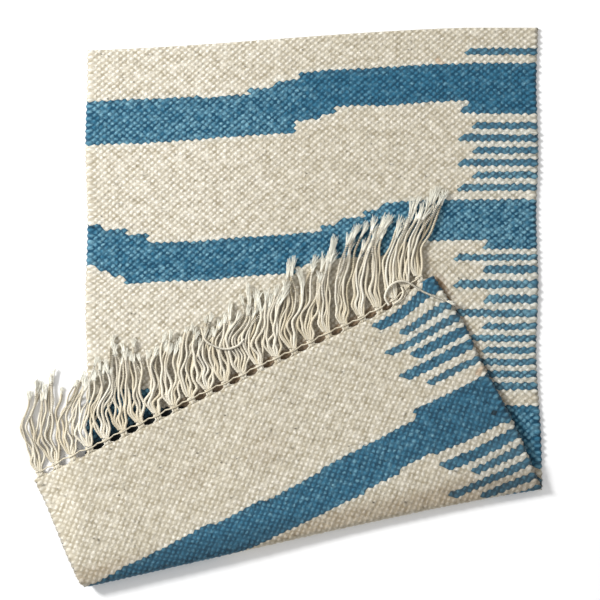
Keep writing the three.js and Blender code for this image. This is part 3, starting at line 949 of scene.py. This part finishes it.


# %% [markdown]
# Between the beads the colour is darkened as painted shade, more where the weft was beaten in less
# tightly. Over all that lie the fibres of the other wool, where the two mingle, and the painted
# shade and stains.

# %% Make the wools
def wool(name, light, shaded, between, depth, hair, hair_share, painted_shade_and_stains, other):
    made = bpy.data.materials.new(name)
    made.use_nodes = True
    tree = made.node_tree
    tree.nodes.clear()
    place = add(tree, "ShaderNodeUVMap", uv_map="weave_mm").outputs["UV"]
    slanted = add(tree, "ShaderNodeMapping", {
        "Vector": place, "Rotation": (0, 0, math.radians(42)), "Scale": (0.35, 0.8, 1)})
    streak = add(tree, "ShaderNodeTexNoise", {
        "Vector": slanted.outputs[0], "Scale": 1.1, "Detail": 4.0, "Roughness": 0.7}).outputs[0]
    haired = yarn_colour(tree, place, light, shaded, streak, hair, hair_share)

    distance = distance_in_bead(tree, place)
    # Painted shade: the colour darkens towards the edges of each bead
    groove = add(tree, "ShaderNodeMapRange", {
        0: distance, 1: 0.2, 2: 1.2, 3: 0.0, 4: depth}, interpolation_type="SMOOTHSTEP")
    loose = add(tree, "ShaderNodeTexNoise", {
        "Vector": place, "Scale": 0.13, "Detail": 3.0, "Roughness": 0.6})
    loosely = add(tree, "ShaderNodeMapRange", {
        0: loose.outputs[0], 1: 0.35, 2: 0.65, 3: 0.55, 4: 1.35})
    shade = add(tree, "ShaderNodeMath", {
        0: groove.outputs[0], 1: loosely.outputs[0]}, operation="MULTIPLY", use_clamp=True)
    colour = add(tree, "ShaderNodeMix", {
        FACTOR: shade.outputs[0], FIRST: haired, SECOND: linear(between)}, data_type="RGBA")
    # The last two mixes lay on the other wool's fibres, then the painted shade and stains
    for attribute, over in (("mingled", other), ("painted_shade_and_stains", painted_shade_and_stains)):
        share = add(tree, "ShaderNodeAttribute", attribute_name=attribute).outputs["Fac"]
        colour = add(tree, "ShaderNodeMix", {
            FACTOR: share, FIRST: colour.outputs[MIXED], SECOND: linear(over)}, data_type="RGBA")

    dome = add(tree, "ShaderNodeMapRange", {
        0: distance, 1: 0.0, 2: 1.1, 3: 1.0, 4: 0.0}, interpolation_type="SMOOTHSTEP")
    rounding = add(tree, "ShaderNodeBump", {
        "Height": dome.outputs[0], "Strength": 0.6, "Distance": 0.0006})
    fibres = add(tree, "ShaderNodeBump", {
        "Height": streak, "Strength": 0.5, "Distance": 0.0004, "Normal": rounding.outputs[0]})
    surface = add(tree, "ShaderNodeBsdfPrincipled", {
        "Base Color": colour.outputs[MIXED], "Roughness": 0.9, "IOR": 1.5, "Specular IOR Level": 0.25,
        "Sheen Weight": 0.12, "Sheen Roughness": 0.5, "Normal": fibres.outputs[0]})
    add(tree, "ShaderNodeOutputMaterial", {"Surface": surface.outputs[0]})
    return made


# %% Dye the wools and give them to the cloth
# 'between' is the colour of the painted shade between the beads
cream_wool = wool(
    "cream_handspun_wool", light="#f2ede1", shaded="#cac3b1", between="#9a907a", depth=0.75,
    hair="#6a523a", hair_share=0.7, painted_shade_and_stains="#6b4c28", other="#3fa9cf")
blue_wool = wool(
    "blue_dyed_wool", light="#8cbccb", shaded="#316b86", between="#0f4058", depth=0.95,
    hair="#2a4a5c", hair_share=0.35, painted_shade_and_stains="#191d1e", other="#96a091")
brown_wool = wool(
    "brown_wool_neps", light="#dccfba", shaded="#c3ad92", between="#93806a", depth=0.7,
    hair="#5c412c", hair_share=0.4, painted_shade_and_stains="#6b4c28", other="#3fa9cf")
for finish in (cream_wool, blue_wool, brown_wool):
    rug.data.materials.append(finish)
    print(finish.name, len(finish.node_tree.nodes), "nodes")


# %% [markdown]
# ### Cotton warp
# The fringe is undyed cotton, smoother and whiter than the wool, roughness about 0.8, with a slight
# lustre where the plies turn to the light. It has soiled in soft patches about 15 mm apart. Where
# the ends have opened, the loose fibres have no twist and look whiter than the yarn.

# %% Make the cotton
def cotton(name, light, shaded, lustre):
    made = bpy.data.materials.new(name)
    made.use_nodes = True
    tree = made.node_tree
    tree.nodes.clear()
    place = add(tree, "ShaderNodeTexCoord").outputs["Object"]
    # For the free yarns the tone carries painted shade: those lying lower are darker
    tone_here = add(tree, "ShaderNodeAttribute", attribute_name="yarn_tone").outputs["Fac"]
    yarn = add(tree, "ShaderNodeMix", {
        FACTOR: tone_here, FIRST: linear(shaded), SECOND: linear(light)}, data_type="RGBA")
    soiled = add(tree, "ShaderNodeTexNoise", {"Vector": place, "Scale": 60.0, "Detail": 2.0})
    soiled_share = add(tree, "ShaderNodeMapRange", {
        0: soiled.outputs[0], 1: 0.45, 2: 0.75, 3: 0.0, 4: 0.5})
    colour = add(tree, "ShaderNodeMix", {
        FACTOR: soiled_share.outputs[0], FIRST: yarn.outputs[MIXED],
        SECOND: linear(shaded)}, data_type="RGBA")
    fibre = add(tree, "ShaderNodeTexNoise", {"Vector": place, "Scale": 900.0, "Detail": 3.0})
    bump = add(tree, "ShaderNodeBump", {
        "Height": fibre.outputs[0], "Strength": 0.35, "Distance": 0.0001})
    surface = add(tree, "ShaderNodeBsdfPrincipled", {
        "Base Color": colour.outputs[MIXED], "Roughness": 0.8, "IOR": 1.5, "Specular IOR Level": 0.3,
        "Sheen Weight": lustre, "Sheen Roughness": 0.4, "Normal": bump.outputs[0]})
    add(tree, "ShaderNodeOutputMaterial", {"Surface": surface.outputs[0]})
    return made


plied_cotton = cotton("plied_cotton_warp", light="#ede8da", shaded="#c6b796", lustre=0.06)
frayed_cotton = cotton("frayed_cotton_fibre", light="#f5f4e9", shaded="#e6e1d2", lustre=0.03)
for piece, finish in (
        (fringe_yarns, plied_cotton), (fringe_cords, plied_cotton), (fringe_brushes, frayed_cotton)):
    piece.data.materials.append(finish)
    print(piece.name, "is of", finish.name)


# %% [markdown]
# The cloth was woven flat, 400 mm wide and on average 592 mm long, and is folded once. The fringe
# goes with it.

# %% Say what the cloth is
print("flat cloth:", WIDTH, "by", FLAT_LENGTH, "mm")


# %% [markdown]
# ## Floor and light
# The rug lies on a seamless pale ground. One large soft light stands to the upper left, low enough
# to shade each bead on its lower right side, and the room fills the shadows in with soft white.

# %% Lay the floor and set the lights
FLOOR_HALF = 6.0  # m from its middle to a side
FLOOR_DROP = 0.0002  # m, so that the floor and the underside don't share one plane
WINDOW = np.array([-1.45, 0.75, 1.1])  # m
WINDOW_SIZE, WINDOW_WATTS, ROOM_BRIGHTNESS = 0.5, 47, 0.62

floor_mesh = bpy.data.meshes.new("pale_floor")
floor_corners = [(FLOOR_HALF * a, FLOOR_HALF * b, 0) for a, b in ((-1, -1), (1, -1), (1, 1), (-1, 1))]
floor_mesh.from_pydata(floor_corners, [], [(0, 1, 2, 3)])
floor = bpy.data.objects.new("pale_floor", floor_mesh)
floor.location.z = -FLOOR_DROP
bpy.context.scene.collection.objects.link(floor)
paper = bpy.data.materials.new("matt_white_paper")
paper.use_nodes = True
paper_surface = paper.node_tree.nodes["Principled BSDF"]
paper_surface.inputs["Base Color"].default_value = linear("#fafafa")
paper_surface.inputs["Roughness"].default_value = 0.9
floor_mesh.materials.append(paper)
floor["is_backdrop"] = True

lamp = bpy.data.lights.new("window_light", "AREA")
lamp.shape, lamp.size, lamp.energy = "DISK", WINDOW_SIZE, WINDOW_WATTS
window = bpy.data.objects.new("window_light", lamp)
window.location = WINDOW
far = np.linalg.norm(WINDOW)
window.rotation_euler = (math.acos(WINDOW[2] / far), 0, math.atan2(WINDOW[0], -WINDOW[1]))  # at the rug
bpy.context.scene.collection.objects.link(window)
world = bpy.data.worlds.new("soft_room")
world.use_nodes = True
room = world.node_tree.nodes["Background"]
room.inputs["Color"].default_value = (1, 1, 1, 1)
room.inputs["Strength"].default_value = ROOM_BRIGHTNESS
bpy.context.scene.world = world
bpy.context.scene.view_settings.view_transform = "Standard"
print("window light", round(far, 2), "m from the rug")


# %% [markdown]
# ## The dressed rug's box
# The box of the dressed rug is printed.

# %% Print the dressed rug's box
low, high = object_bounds()
print("dressed rug's box in metres:", [round(v, 4) for v in low], [round(v, 4) for v in high])
